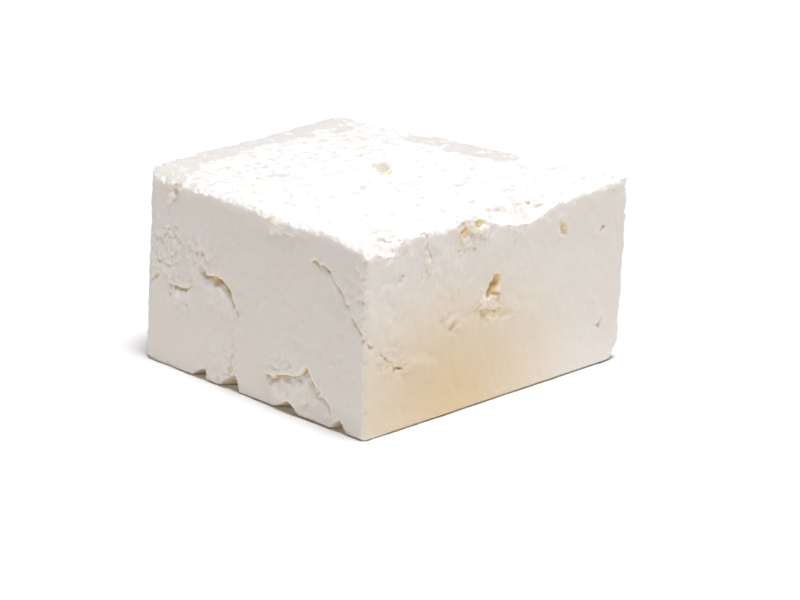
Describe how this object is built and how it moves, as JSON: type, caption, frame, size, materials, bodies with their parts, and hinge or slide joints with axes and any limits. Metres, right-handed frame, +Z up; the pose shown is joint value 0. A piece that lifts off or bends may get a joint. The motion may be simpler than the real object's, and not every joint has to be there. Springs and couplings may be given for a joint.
{
  "type": "block of feta cheese",
  "caption": "Hand-cut block of white brined feta cheese with curd cracks, pits and crumbled edges.",
  "frame": {"origin": "centre of the underside of the bounding box, on the surface that the block stands on", "axes": "+Z up from the cut base; -Y out of the front face, +X to the right as seen from the front"},
  "size_m": [0.1308, 0.137, 0.0744],
  "materials": {
    "cut_feta_curd": "moist matte curd, creamy white, a little yellower inside the cracks"
  },
  "bodies": {
    "root": {"feta_block": "cut_feta_curd"}
  },
  "joints": []
}
